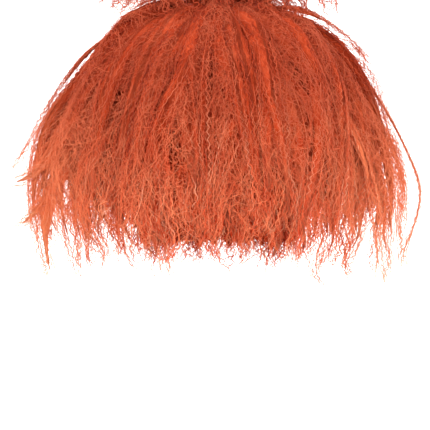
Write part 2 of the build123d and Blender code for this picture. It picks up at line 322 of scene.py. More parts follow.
def draw_strands(name, strands, material, section, body="wig"):
    """One mesh of closed fibres or threads, each with its points, half widths, tone and share along."""
    curve = bpy.data.curves.new(name, "CURVE")
    curve.dimensions = "3D"
    curve.bevel_mode = "OBJECT"
    curve.bevel_object = section
    curve.use_fill_caps = True
    sides = len(section.data.splines[0].points)
    along, tones = [], []
    for points, width, tone, share in strands:
        spline = curve.splines.new("POLY")
        spline.points.add(len(points) - 1)
        spline.points.foreach_set("co", np.hstack([points, np.ones((len(points), 1))]).ravel())
        spline.points.foreach_set("radius", width)
        along.append(np.concatenate([[share[-1]] * sides, [share[0]] * sides, np.repeat(share, sides)]))
        tones.append(np.full((len(points) + 2) * sides, tone))
    drawn = bpy.data.objects.new(name + "_curve", curve)
    scene.collection.objects.link(drawn)
    bpy.context.view_layer.update()
    mesh = bpy.data.meshes.new_from_object(drawn.evaluated_get(bpy.context.evaluated_depsgraph_get()))
    bpy.data.objects.remove(drawn)
    mesh.name = name
    return finish_piece(name, mesh, material,
                        {"root_to_tip": np.concatenate(along), "tone": np.concatenate(tones)}, body)


def stitched(line, spacing=0.003, long=0.002, half_thick=0.00022):
    """Running stitches along a line: each a short arched thread."""
    length = np.concatenate([[0], np.cumsum(np.linalg.norm(np.diff(line, axis=0), axis=1))])
    made = []
    for start in np.arange(spacing / 2, length[-1] - long, spacing):
        marks = start + long * np.array((0, 0.2, 0.5, 0.8, 1))
        points = np.stack([np.interp(marks, length, line[:, k]) for k in range(3)], axis=1)
        away = points[2] / np.linalg.norm(points[2])
        points = points + np.outer((-0.5, 0.3, 0.6, 0.3, -0.5), away) * half_thick * 1.6
        made.append((points, np.full(5, half_thick), random.normal(0.5, 0.1), np.linspace(0, 1, 5)))
    return made


def on_head(y, z, half, lift):
    """The place on the head, lift outside it, that side view shows at y and z."""
    y, z = np.asarray(y, float), np.asarray(z, float)
    x = np.sqrt(np.maximum(0, 1 - (y / (HEAD[1] + lift)) ** 2
                           - (z / (HEAD[2] + lift)) ** 2)) * (HEAD[0] + lift)
    return np.stack([half * x, y, z], axis=1)


random = np.random.default_rng(11)
thread_section = profile("thread_section", 6)
tricot = cloth_material("brushed_nylon_tricot", "#4E1A10", "#8A4330", 0.0006, 0.0005, 0.85)
thread = cloth_material("spun_polyester_thread", "#5A2015", "#A85A40", 0.0003, 0.0002, 0.6)
outline = [(FAR, hairline(FAR)), (TAB_FRONT, hairline(TAB_FRONT)), (TAB_FRONT, SEAM_HEIGHT + GAP),
           (TAB_BACK, SEAM_HEIGHT + GAP), (TAB_BACK, hairline(TAB_BACK, BAND_WIDE)),
           (FAR, hairline(FAR, BAND_WIDE))]
band = cloth_piece("front_band_cloth", cut_from_head(outline, BAND_THICK), BAND_THICK, tricot,
                   node="front_band")
seams = []
for behind, end in ((0.002, TAB_FRONT), (BAND_WIDE - 0.002, TAB_BACK - 0.002)):
    for half in (1, -1):
        y = np.linspace(-0.078, end, 300)
        z = np.array([hairline(v, behind) for v in y])
        for lift in FACES:
            inside = (y / (HEAD[1] + lift)) ** 2 + (z / (HEAD[2] + lift)) ** 2 < 0.9995
            seams += stitched(on_head(y[inside], z[inside], half, lift))
draw_strands("front_band_topstitching", seams, thread, thread_section)

# ---------------------------------------------------------------------------
# Crown net: knotted nylon stretch net, cut as one round piece and stretched over the crown.
# Its filament is drawn 1.1 mm thick, coarser than real, so that the net shows.
# ---------------------------------------------------------------------------
NET_LOW = 0.060
NET_THICK = 0.001
YARN_THICK = 0.0011
NET_FRONT = TAB_BACK - (NET_LOW - hairline(TAB_BACK, BAND_WIDE)) / HAIRLINE_SLOPE
net_yarn = cloth_material("textured_nylon_net_yarn", "#3A140C", "#7E3A28", 0.0004, 0.0003, 0.7)
outline = [(FAR, hairline(FAR, BAND_WIDE + GAP)), (NET_FRONT, NET_LOW), (-FAR, NET_LOW), (-FAR, ABOVE_HEAD),
           (FAR, ABOVE_HEAD)]
net = cloth_piece("crown_net_cloth", cut_from_head(outline, NET_THICK / 2), YARN_THICK, net_yarn,
                  node="crown_net", wire=True)

# ---------------------------------------------------------------------------
# Crown patch: a disc of brushed tricot over the crown, sewn on where the last hair starts.
# ---------------------------------------------------------------------------
PATCH_LOW = 0.119
SEWN_GAP = 0.0003
outline = [(FAR, PATCH_LOW), (-FAR, PATCH_LOW), (-FAR, ABOVE_HEAD), (FAR, ABOVE_HEAD)]
patch = cloth_piece("crown_patch_cloth", cut_from_head(outline, 2 * NET_THICK + SEWN_GAP), NET_THICK, tricot,
                    node="crown_patch")

# ---------------------------------------------------------------------------
# Ear tabs: tricot tabs that hang before the ears from a seam tape, each with a stay of white
# nylon slipped into it, which the wearer bends in against the head or out over the ear.
# ---------------------------------------------------------------------------
stay_nylon, tree, surface = new_material("extruded_white_nylon")
place = add_node(tree, "TexCoord").outputs["Object"]
drawn_lines = add_node(tree, "Mapping", {}, {"Vector": place, "Scale": (2500.0, 2500.0, 60.0)})
haze = add_node(tree, "TexNoise", {}, {"Vector": drawn_lines.outputs["Vector"], "Scale": 1.0, "Detail": 3.0})
ramp = add_node(tree, "ValToRGB", {}, {"Fac": haze.outputs["Fac"]})
ramp.color_ramp.elements[0].color, ramp.color_ramp.elements[1].color = linear("#D9D4C8"), linear("#F4F1E8")
tree.links.new(ramp.outputs["Color"], surface.inputs["Base Color"])
bump = add_node(tree, "Bump", {}, {"Height": haze.outputs["Fac"], "Strength": 0.3, "Distance": 0.0002})
tree.links.new(bump.outputs["Normal"], surface.inputs["Normal"])
surface.inputs["Roughness"].default_value = 0.35
seam_tape = cloth_material("bias_seam_tape", "#55200F", "#93503A", 0.0005, 0.0003, 0.8, rib=0.0012,
                           rib_way="X")
TAB_CORNER, TAPER = 0.007, 0.003
STAY_FRONT, STAY_BACK = -0.0330, -0.0265
TAPE_LOW, TAPE_HIGH, TAPE_THICK = 0.0155, 0.0255, 0.0005


def along_sides(outline, steps):
    """Places in side view along the sides of an outline."""
    ends = zip(np.array(outline), np.array(outline[1:]))
    return np.array([a + (b - a) * t for a, b in ends for t in np.linspace(0, 1, steps)])


for half, side in ((1, "left"), (-1, "right")):
    flap = "ear_flap_" + side
    top = SEAM_HEIGHT - GAP
    outline = [(TAB_FRONT, top), (TAB_BACK, top), (TAB_BACK - TAPER, TAB_LOW + TAB_CORNER),
               (TAB_BACK - TAB_CORNER - TAPER, TAB_LOW), (TAB_FRONT + TAB_CORNER + TAPER, TAB_LOW),
               (TAB_FRONT + TAPER, TAB_LOW + TAB_CORNER)]
    tab = cloth_piece("ear_tab_cloth_" + side, cut_from_head(outline, BAND_THICK, half), BAND_THICK, tricot,
                      flap, "ear_tab_" + side)
    inset = [(0.003, top - 0.002), (0.0055, TAB_LOW + TAB_CORNER + 0.001),
             (TAB_CORNER + 0.004, TAB_LOW + 0.0025)]
    inset = [(TAB_FRONT + y, z) for y, z in inset] + [(TAB_BACK - y, z) for y, z in reversed(inset)]
    round_edge = along_sides(inset, 30)
    sewn = []
    for lift in FACES:
        sewn += stitched(on_head(round_edge[:, 0], round_edge[:, 1], half, lift))
        for y in (STAY_FRONT, STAY_BACK):
            run = np.linspace(TAB_LOW + 0.004, TAPE_LOW, 60)
            sewn += stitched(on_head(np.full(60, y), run, half, lift))
    draw_strands("ear_tab_stitching_" + side, sewn, thread, thread_section, flap)
    for slot in bpy.data.objects["ear_tab_stay_" + side].material_slots:
        slot.material = stay_nylon
    ends = TAB_FRONT + 0.001, TAB_BACK - 0.001
    outline = [(ends[0], TAPE_LOW), (ends[1], TAPE_LOW), (ends[1], TAPE_HIGH), (ends[0], TAPE_HIGH)]
    tape = cut_from_head(outline, -THREAD_OUT, half)
    bmesh.ops.solidify(tape, geom=tape.faces[:], thickness=TAPE_THICK)
    tape = cloth_piece("ear_tab_seam_tape_" + side, tape, 0, seam_tape, None)
    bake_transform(tape)

# ---------------------------------------------------------------------------
# Side elastics: ribbed elastic round the back of each ear, from the front band to the nape.
# ---------------------------------------------------------------------------
BAND_LOW, BAND_HIGH = -0.059, -0.043
elastic = cloth_material("ribbed_knitted_elastic", "#45180E", "#8C4430", 0.0005, 0.0005, 0.75, rib=0.0016,
                         rib_way="Y")
ear_lower = [(TAB_BACK + GAP, 0.021), (0.010, 0.010), (0.028, -0.009), (0.047, BAND_HIGH + GAP)]
ear_upper = [(0.058, BAND_HIGH + GAP), (0.038, 0.0), (0.016, 0.021), (TAB_BACK + GAP, 0.032)]
for half, side in ((1, "left"), (-1, "right")):
    piece = cloth_piece("side_elastic_cloth_" + side, cut_from_head(ear_lower + ear_upper, BAND_THICK, half),
                        BAND_THICK, elastic,
                        node="side_elastic_" + side)
    edge = []
    for line, into in ((ear_lower, 0.0018), (ear_upper[::-1], -0.0018)):
        bent = along_sides(line, 40)[8:-8] + (into * 0.7, into)
        for lift in reversed(FACES):
            edge += stitched(on_head(bent[:, 0], bent[:, 1], half, lift))
    draw_strands("side_elastic_stitching_" + side, edge, thread, thread_section)

# ---------------------------------------------------------------------------
# Nape band: the same brushed tricot, folded double over elastic, round the back of the neck.
# ---------------------------------------------------------------------------
outline = [(ear_lower[-1][0] + 0.001, BAND_HIGH), (-FAR, BAND_HIGH), (-FAR, BAND_LOW), (0.054, BAND_LOW)]
nape = cloth_piece("nape_band_cloth", cut_from_head(outline, BAND_THICK), BAND_THICK, tricot,
                   node="nape_band")
rows = []
for height in (BAND_LOW + 0.0018, BAND_HIGH - 0.0018):
    for lift in FACES:
        shrink = math.sqrt(1 - (height / (HEAD[2] + lift)) ** 2)
        turns = np.radians(np.linspace(-50, 50, 300))
        rows += stitched(np.stack([(HEAD[0] + lift) * shrink * np.sin(turns),
                                   (HEAD[1] + lift) * shrink * np.cos(turns), np.full(300, height)], axis=1))
draw_strands("nape_band_topstitching", rows, thread, thread_section)

# ---------------------------------------------------------------------------
# Ribbons: seven upright ribbed elastics that join the net to the nape band, and carry the rows
# of weft over the open back of the cap.
# ---------------------------------------------------------------------------
ribbed = cloth_material("narrow_ribbed_ribbon", "#3E150C", "#7C3A28", 0.0004, 0.0004, 0.75, rib=0.0013,
                        rib_way="X")
open_back = [(y + GAP, z + GAP) for y, z in ear_upper] + [
    (TAB_BACK + GAP, hairline(TAB_BACK + GAP, BAND_WIDE + GAP)),
    (NET_FRONT, hairline(NET_FRONT, BAND_WIDE + GAP)),
    (NET_FRONT, NET_LOW - GAP), (-FAR, NET_LOW - GAP), (-FAR, BAND_HIGH + 2 * GAP)]
for number, bearing in enumerate(range(-75, 76, 25), 1):
    strip = cut_from_head(open_back, NET_THICK, slab=(bearing, 0.008))
    cloth_piece(f"weft_ribbon_cloth_{number}", strip, NET_THICK, ribbed, node=f"weft_ribbon_{number}")

# ---------------------------------------------------------------------------
# Wefts: tracks of hair folded over and sewn with three lines of thread, 3 mm tall. Seven rows
# cross the ribbons, four rings go round the crown, and one track follows each band.
# ---------------------------------------------------------------------------
WEFT_LIFT, WEFT_THICK, WEFT_TALL = 0.0013, 0.0012, 0.003
track, tree, surface = new_material("sewn_modacrylic_weft")
ways = add_node(tree, "SeparateXYZ", {},
                {"Vector": add_node(tree, "UVMap", {"uv_map": "cloth"}).outputs["UV"]})
upright = add_node(tree, "CombineXYZ", {}, {"X": ways.outputs["X"], "Z": 0.0})
hairs = add_node(tree, "TexNoise", {}, {"Vector": upright.outputs["Vector"], "Scale": 1800.0, "Detail": 2.0})
rows = add_node(tree, "Math", {"operation": "MULTIPLY"}, {0: ways.outputs["Y"], 1: 2 * math.pi / 0.001})
thread_rows = add_node(tree, "Math", {"operation": "SINE"}, {0: rows.outputs[0]})
over = add_node(tree, "Math", {"operation": "MULTIPLY"}, {0: ways.outputs["X"], 1: 2 * math.pi / 0.002})
overs = add_node(tree, "Math", {"operation": "SINE"}, {0: over.outputs[0]})
sewing = add_node(tree, "Math", {"operation": "MULTIPLY"}, {0: thread_rows.outputs[0], 1: overs.outputs[0]})
line = add_node(tree, "MapRange", {}, {"Value": sewing.outputs[0], "From Min": 0.3, "From Max": 0.6})
ramp = add_node(tree, "ValToRGB", {}, {"Fac": hairs.outputs["Fac"]})
ramp.color_ramp.elements[0].position, ramp.color_ramp.elements[1].position = 0.3, 0.75
ramp.color_ramp.elements[0].color, ramp.color_ramp.elements[1].color = linear("#8C2508"), linear("#E86A3C")
sewn = add_node(tree, "Mix", {"data_type": "RGBA"},
                {"Factor": line.outputs["Result"], 6: ramp.outputs["Color"], 7: linear("#5A2015")})
tree.links.new(sewn.outputs[2], surface.inputs["Base Color"])
relief = add_node(tree, "Math", {"operation": "MULTIPLY_ADD"},
                  {0: hairs.outputs["Fac"], 1: 0.6, 2: line.outputs["Result"]})
bump = add_node(tree, "Bump", {}, {"Height": relief.outputs[0], "Strength": 1.0, "Distance": 0.0004})
tree.links.new(bump.outputs["Normal"], surface.inputs["Normal"])
surface.inputs["Roughness"].default_value = 0.6
whole_crown = [(FAR, hairline(FAR, BAND_WIDE + GAP)), (NET_FRONT, NET_LOW), (-FAR, NET_LOW),
               (-FAR, ABOVE_HEAD), (FAR, ABOVE_HEAD)]
for names, heights, region in (("weft_row", range(-34, 51, 14), open_back),
                               ("crown_weft", (72, 88, 102, 112), whole_crown)):
    for number, height in enumerate(heights, 1):
        low, high = height / 1000 - WEFT_TALL / 2, height / 1000 + WEFT_TALL / 2
        ring = cut_from_head([(FAR, low), (-FAR, low), (-FAR, high), (FAR, high)], WEFT_LIFT + WEFT_THICK)
        outside = [f for f in ring.faces
                   if not within(region, f.calc_center_median().y, f.calc_center_median().z)]
        bmesh.ops.delete(ring, geom=outside, context="FACES")
        cloth_piece(f"{names}_hair_{number}", ring, WEFT_THICK, track, node=f"{names}_{number}")
near, far = BAND_WIDE / 2, BAND_WIDE / 2 + WEFT_TALL
outline = [(FAR, hairline(FAR, near)), (TAB_BACK - 0.004, hairline(TAB_BACK - 0.004, near)),
           (TAB_BACK - 0.004, hairline(TAB_BACK - 0.004, far)), (FAR, hairline(FAR, far))]
cloth_piece("front_weft_hair", cut_from_head(outline, BAND_THICK + SEWN_GAP + WEFT_THICK), WEFT_THICK, track,
            node="front_weft")
NAPE_MID = (BAND_LOW + BAND_HIGH) / 2
low, high = NAPE_MID - WEFT_TALL / 2, NAPE_MID + WEFT_TALL / 2
outline = [(0.056, high), (-FAR, high), (-FAR, low), (0.056, low)]
cloth_piece("nape_weft_hair", cut_from_head(outline, BAND_THICK + SEWN_GAP + WEFT_THICK), WEFT_THICK, track,
            node="nape_weft")

# ---------------------------------------------------------------------------
# Nape adjusters: on each side a loop pad is sewn inside the nape band, and a hook tab on an
# elastic strap is pulled along it and pressed on, to take in the cap. Spans are in degrees
# about the band's centre. A real pad has many more loops, and finer ones.
# ---------------------------------------------------------------------------
BAND_CENTRE, BAND_RADIUS, BAND_SLOPE = 0.0297536, 0.05698, 0.3396
PAD_INSET, HOOK_INSET = 0.0018, 0.0033
PAD_SPAN, HOOK_SPAN, END_SPAN, STRAP_SPAN = (2, 42), (20, 39.5), (39.8, 44), (44.3, 62)
PAD_TALL, HOOK_TALL, STRAP_TALL = 0.012, 0.011, 0.009
PAD_THICK, HOOK_THICK, END_THICK, STRAP_THICK = 0.0012, 0.0008, 0.0016, 0.001
EDGE_ROUND = 0.0003
LOOPS = 420
FOLD_CORNERS = (40.4, -0.0042), (43.4, -0.0042), (43.4, 0.0042), (40.4, 0.0042)
loop_tape = cloth_material("napped_loop_tape", "#2A130D", "#7A4434", 0.0007, 0.0009, 0.95)
hook_ground = cloth_material("woven_hook_tape_ground", "#2A130D", "#5E2E22", 0.0004, 0.0003, 0.7, rib=0.0008,
                             rib_way="X")
hook_nylon = cloth_material("cut_nylon_hooks", "#3A1A12", "#8A5444", 0.0004, 0.0001, 0.4)
strap_elastic = cloth_material("braided_strap_elastic", "#45180E", "#9A523C", 0.0005, 0.0005, 0.75,
                               rib=0.0012, rib_way="Y")


def nape_place(bearing, out, up, half):
    """A place by its turn about the nape band's centre, how far out from the strips' inner face,
    and how far up."""
    turn = math.radians(bearing)
    far = BAND_RADIUS + out + BAND_SLOPE * up
    return Vector((half * far * math.sin(turn), BAND_CENTRE + far * math.cos(turn), NAPE_MID + up))


def nape_strip(name, inset, thick, tall, bearings, half, material, body, node):
    """A strip bent round the inside of the nape band, with softened edges."""
    strip = bmesh.new()
    corners = [(0, -tall / 2), (thick, -tall / 2), (thick, tall / 2), (0, tall / 2)]
    face = strip.faces.new([strip.verts.new(nape_place(bearings[0], out - inset, up, half))
                            for out, up in corners])
    swept = math.radians(bearings[1] - bearings[0])
    bmesh.ops.spin(strip, geom=[face], cent=(0, BAND_CENTRE, 0), axis=(0, 0, 1), angle=-half * swept,
                   steps=max(2, int(abs(bearings[1] - bearings[0]) / 1.5)), use_merge=False,
                   use_normal_flip=False)
    bmesh.ops.recalc_face_normals(strip, faces=strip.faces)
    sharp = [e for e in strip.edges if len(e.link_faces) == 2 and e.calc_face_angle() > 0.6]
    bmesh.ops.bevel(strip, geom=sharp, offset=EDGE_ROUND, offset_type="OFFSET", segments=2, profile=0.5,
                    affect="EDGES", material=-1)
    mesh = bpy.data.meshes.new(name)
    strip.to_mesh(mesh)
    strip.free()
    cloth_map = mesh.uv_layers.new(name="cloth")
    for loop in mesh.loops:
        x, y, z = mesh.vertices[loop.vertex_index].co
        cloth_map.data[loop.index].uv = (math.atan2(x, y - BAND_CENTRE) * BAND_RADIUS, z)
    mesh.materials.append(material)
    piece = bpy.data.objects.new(name, mesh)
    scene.collection.objects.link(piece)
    if body:
        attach(piece, body)
    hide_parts(node)
    return piece


for half, side in ((1, "left"), (-1, "right")):
    nape_strip("loop_pad_nap_" + side, PAD_INSET, PAD_THICK, PAD_TALL, PAD_SPAN, half, loop_tape, "wig",
               "loop_pad_" + side)
    loops = []
    for _ in range(LOOPS):
        bearing, up, lean = random.uniform(2.6, 41.4), random.uniform(-0.0052, 0.0052), random.uniform(-2, 2)
        marks = [(bearing, 0.0001), (bearing + 0.3, -0.00019), (bearing + 0.7 + lean * 0.1, -0.00017),
                 (bearing + 0.9, 0.0001)]
        points = np.array([nape_place(b, out - PAD_INSET + 0.00005, up + lean * 0.0001 * n, half)
                           for n, (b, out) in enumerate(marks)])
        loops.append((points, np.full(4, 0.00007), random.uniform(0, 1), np.linspace(0, 1, 4)))
    draw_strands("loop_pad_loops_" + side, loops, loop_tape, thread_section)
    sewn = []
    for up in (-0.0047, 0.0047):
        sewn += stitched(np.array([nape_place(b, -PAD_INSET + 0.0001, up, half)
                                   for b in np.linspace(3, 41, 120)]), 0.003, 0.002, 0.00012)
    draw_strands("loop_pad_stitching_" + side, sewn, thread, thread_section)
    nape_strip("hook_tab_ground_" + side, HOOK_INSET, HOOK_THICK, HOOK_TALL, HOOK_SPAN, half, hook_ground,
               "hook_" + side, "hook_tab_" + side)
    hooks = []
    for bearing in np.arange(21.2, 38.6, 1.5):
        for up in np.arange(-0.0045, 0.0046, 0.0015):
            stem = [nape_place(bearing + turn, -HOOK_INSET + 0.0007 + out, up, half) for turn, out in
                    ((0, 0), (0, 0.0003), (0.25, 0.00045), (0.55, 0.00042), (0.6, 0.00030))]
            hooks.append((np.array(stem), np.full(5, 0.00009), random.uniform(0.3, 0.7),
                          np.linspace(0, 1, 5)))
    draw_strands("hook_tab_hooks_" + side, hooks, hook_nylon, thread_section, "hook_" + side)
    nape_strip("adjuster_end_fold_" + side, HOOK_INSET + 0.0004, END_THICK, HOOK_TALL, END_SPAN, half,
               strap_elastic, "adjuster_" + side,
               "adjuster_end_" + side)
    cross = []
    for first, last in ((0, 1), (1, 2), (2, 3), (3, 0), (0, 2), (3, 1)):
        line = FOLD_CORNERS[first], FOLD_CORNERS[last]
        ends = [np.array(nape_place(b, -HOOK_INSET - 0.0005, up, half)) for b, up in line]
        cross += stitched(np.linspace(ends[0], ends[1], 20), 0.0012, 0.0009, 0.00014)
    draw_strands("adjuster_end_stitching_" + side, cross, thread, thread_section, "adjuster_" + side)
    strap = nape_strip("adjuster_strap_webbing_" + side, HOOK_INSET, STRAP_THICK, STRAP_TALL, STRAP_SPAN,
                       half, strap_elastic, None, "adjuster_strap_" + side)
    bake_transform(strap)

# ---------------------------------------------------------------------------
# Size label: a blank tab of white satin tape, folded at its ends and sewn inside the back.
# ---------------------------------------------------------------------------
satin = cloth_material("white_woven_satin_tape", "#D8D2C6", "#F5F1E9", 0.0004, 0.0002, 0.45, rib=0.0009,
                       rib_way="Y")
label = cut_from_head([(0, -0.008), (-FAR, -0.008), (-FAR, 0.005), (0, 0.005)], -0.0005, slab=(0, 0.024))
label = cloth_piece("size_label_tape", label, 0.0005, satin, node="size_label")
sewn = []
for x in (-0.0105, 0.0105):
    z = np.linspace(-0.0072, 0.0042, 40)
    lift = -0.0011
    y = np.sqrt(1 - (x / (HEAD[0] + lift)) ** 2 - (z / (HEAD[2] + lift)) ** 2) * (HEAD[1] + lift)
    sewn += stitched(np.stack([np.full(40, x), y, z], axis=1), 0.0018, 0.0012, 0.00014)
draw_strands("size_label_stitching", sewn, thread, thread_section)
bpy.data.objects.remove(thread_section)

# ---------------------------------------------------------------------------
# Crimped hair: modacrylic fibre, solution-dyed orange, set in tight crimps and teased full.
# Each lock is a felted bundle of teased fibre with longer crimped strands lying over it. The
# locks are worked out here; the sections below comb them out for each part of the wig.
# Bearings are in degrees from the back, and the face is open beyond FACE_OPEN.
# ---------------------------------------------------------------------------
HAIR_HALF_WIDTH = 0.206
HAIR_DEPTH_BACK = 0.180
HAIR_DEPTH_FRONT = 0.152
WIDEST_HEIGHT = -0.025
HAIR_TOP = 0.204
FIBRE_WIDE = 0.0005
CRIMP_PITCH = 0.0115
FACE_OPEN = 136
HEM_RISE = 0.0042


def at(bearing, radius, height):
    """A point by its bearing from the back of the head, in degrees, positive to the wearer's left."""
    turn = math.radians(bearing)
    return np.array((radius * math.sin(turn), radius * math.cos(turn), height))


def reach(bearing):
    """How far the outermost locks run from the head's axis."""
    depth = HAIR_DEPTH_BACK if abs(bearing) < 90 else HAIR_DEPTH_FRONT
    turn = math.radians(bearing)
    return 1 / math.hypot(math.sin(turn) / HAIR_HALF_WIDTH, math.cos(turn) / depth)


def on_cap(bearing, height, lift=0.004):
    """A point on the outside of the cap."""
    turn = math.radians(bearing)
    shrink = math.sqrt(1 - (height / HEAD[2]) ** 2)
    radius = shrink / math.hypot(math.sin(turn) / HEAD[0], math.cos(turn) / HEAD[1])
    return at(bearing, radius + lift, height * (1 + lift / HEAD[2]))


def dome(bearing, depth, angle):
    """A point on the lobed dome that hair at this depth follows, by its angle from the top."""
    turn, way = math.radians(angle), math.radians(bearing)
    # Each set of lobes swells by a share of the dome's radius, so many times round it.
    lobes = 0.034 * math.sin(7 * way + 1.1 * math.sin(3 * turn)) + 0.026 * math.sin(12 * way + 2.4 * turn)
    lobes += 0.016 * math.sin(23 * way - 3.1 * turn) + 0.012 * math.sin(8 * turn + 3 * way)
    swell = 1 - 0.42 * depth + lobes * min(1.0, angle / 35) * (1 - depth)
    top = HAIR_TOP - 0.075 * depth - WIDEST_HEIGHT
    return at(bearing, reach(bearing) * swell * math.sin(turn),
              WIDEST_HEIGHT + top * swell * math.cos(turn) / (1 - 0.42 * depth))


def combed(knots):
    """A smooth line guided by knots: a cubic B-spline that starts at the first and ends at the last."""
    knots = np.array(knots)
    ends = np.vstack([knots[:1], knots[:1], knots, knots[-1:], knots[-1:]])
    u = np.linspace(0, len(ends) - 3 - 1e-9, 160)
    i = u.astype(int)
    f = (u - i)[:, None]
    weights = ((1 - f) ** 3, 3 * f**3 - 6 * f**2 + 4, -3 * f**3 + 3 * f**2 + 3 * f + 1, f**3)
    line = sum(w * ends[i + n] for n, w in enumerate(weights)) / 6
    length = np.concatenate([[0], np.cumsum(np.linalg.norm(np.diff(line, axis=0), axis=1))])
    even = np.linspace(0, length[-1], 121)
    return np.stack([np.interp(even, length, line[:, k]) for k in range(3)], axis=1), length[-1]


def clear_of_head(points, share):
    """Points eased outwards, off the cap and away from the ears and the neck."""
    x, y, z = points.T
    bearing = np.degrees(np.abs(np.arctan2(x, y)))
    low = np.clip((0.05 - z) / 0.03, 0, 1)
    beside = np.clip((bearing - 45) / 20, 0, 1)
    room = 0.006 + low * (0.006 + 0.014 * beside)
    room = 0.003 + (room - 0.003) * np.clip(share / 0.1, 0, 1)
    inside = np.sqrt((x / (HEAD[0] + room)) ** 2 + (y / (HEAD[1] + room)) ** 2
                     + (np.maximum(z, 0) / (HEAD[2] + room)) ** 2)
    push = np.where(inside < 1, 1 / np.maximum(inside, 0.3), 1)
    return np.stack([x * push, y * push, np.where(z > 0, z * push, z)], axis=1)


def lock(knots, wide, thick, tone, root=0.4, tip=0.17, full=0.55, felt_end=0.88):
    """A lock along a combed line, with its frame and its half width and thickness all along."""
    line, length = combed(knots)
    share = np.linspace(0, 1, len(line))
    tangent = np.gradient(line, axis=0)
    tangent /= np.linalg.norm(tangent, axis=1)[:, None]
    across = np.cross(tangent, line * (1, 1, 0.5) + (0, 0, 1e-4))
    across /= np.linalg.norm(across, axis=1)[:, None] + 1e-9
    outward = np.cross(across, tangent)
    swell = np.minimum(1, root + (1 - root) * share / 0.3)
    swell = swell * (1 - (1 - tip) * np.clip((share - full) / (1 - full), 0, 1) ** 1.4)
    uneven = 1 + 0.14 * np.sin(share * random.uniform(9, 16) + random.uniform(0, 6.3))
    return dict(line=line, length=length, share=share, across=across, outward=outward,
                wide=wide * swell * uneven, thick=thick * swell * uneven, tone=tone, felt_end=felt_end)


def on_lock(one, share, turn, out):
    """Points on or about a lock: how far along, the turn about it from its outer side, how far out."""
    def along(values):
        if values.ndim == 1:
            return np.interp(share, one["share"], values)
        return np.stack([np.interp(share, one["share"], values[:, k]) for k in range(3)], axis=1)
    side = (along(one["wide"]) * np.sin(turn) * out)[:, None] * along(one["across"])
    rise = (along(one["thick"]) * np.cos(turn) * out)[:, None] * along(one["outward"])
    return along(one["line"]) + side + rise


def strand(one, start, end, turns, outs, pitch, swing, width, lift=0.0, tone=0.0, bends=2):
    """A crimped strand along a lock between two shares of its length, drifting about it."""
    length = one["length"] * (end - start)
    count = max(6, int(bends * length / pitch))
    t = np.linspace(0, 1, count)
    share = start + (end - start) * t
    turn = turns[0] + (turns[1] - turns[0]) * t + 0.25 * np.sin(t * random.uniform(3, 9)
                                                                + random.uniform(0, 6))
    out = outs[0] + (outs[1] - outs[0]) * t
    points = on_lock(one, share, turn, out)
    across = np.stack([np.interp(share, one["share"], one["across"][:, k]) for k in range(3)], axis=1)
    outward = np.stack([np.interp(share, one["share"], one["outward"][:, k]) for k in range(3)], axis=1)
    face = random.uniform(0, math.pi)
    zigzag = np.where(np.arange(count) % bends < bends / 2, 1.0, -1.0) * random.uniform(0.6, 1.3, count)
    zigzag = zigzag * (swing[0] + (swing[1] - swing[0]) * t)
    points = points + across * (zigzag * math.cos(face))[:, None]
    points = points + outward * (zigzag * math.sin(face) + lift * t * t)[:, None]
    widths = width * (1 - 0.6 * t**3) * np.minimum(1, 0.5 + 2 * t)
    return clear_of_head(points, share), widths, one["tone"] + tone + random.normal(0, 0.13), share


def comb_out(one, covers, fuzz, loose=2):
    """The strands of one lock: long crimped ones over it, short teased ones, and bundles that
    hang loose at its tip."""
    made = []
    for _ in range(covers):
        start = random.uniform(0, 0.45)
        turn = random.uniform(-1.9, 1.9)
        made.append(strand(one, start, random.uniform(max(0.6, start + 0.3), 1.0),
                           (turn, turn + random.normal(0, 0.5)),
                           (random.uniform(0.85, 1.05), random.uniform(0.9, 1.5)), 0.0085, (0.0007, 0.0023),
                           FIBRE_WIDE * random.uniform(0.7, 1.1)))
    for _ in range(fuzz):
        start = random.uniform(0.08, 0.93)
        reachable = min(1.0, start + random.uniform(0.06, 0.2))
        turn = random.uniform(-1.8, 1.8)
        made.append(strand(one, start, reachable, (turn, turn + random.normal(0, 1.0)),
                           (random.uniform(0.95, 1.05), random.uniform(1.05, 1.35)), 0.0065, (0.0006, 0.0012),
                           FIBRE_WIDE * random.uniform(0.45, 0.75), random.uniform(0.0, 0.005),
                           random.normal(0.05, 0.1)))
    for _ in range(loose):
        start = random.uniform(0.72, 0.88)
        turn = random.uniform(-3.1, 3.1)
        made.append(strand(one, start, 1.0, (turn, turn + random.normal(0, 0.6)),
                           (0.7, random.uniform(1.0, 3.6)), CRIMP_PITCH * random.uniform(0.8, 1.2),
                           (0.0008, 0.0024),
                           FIBRE_WIDE * random.uniform(0.9, 1.5), random.normal(0, 0.006), 0.15, 4))
    return made


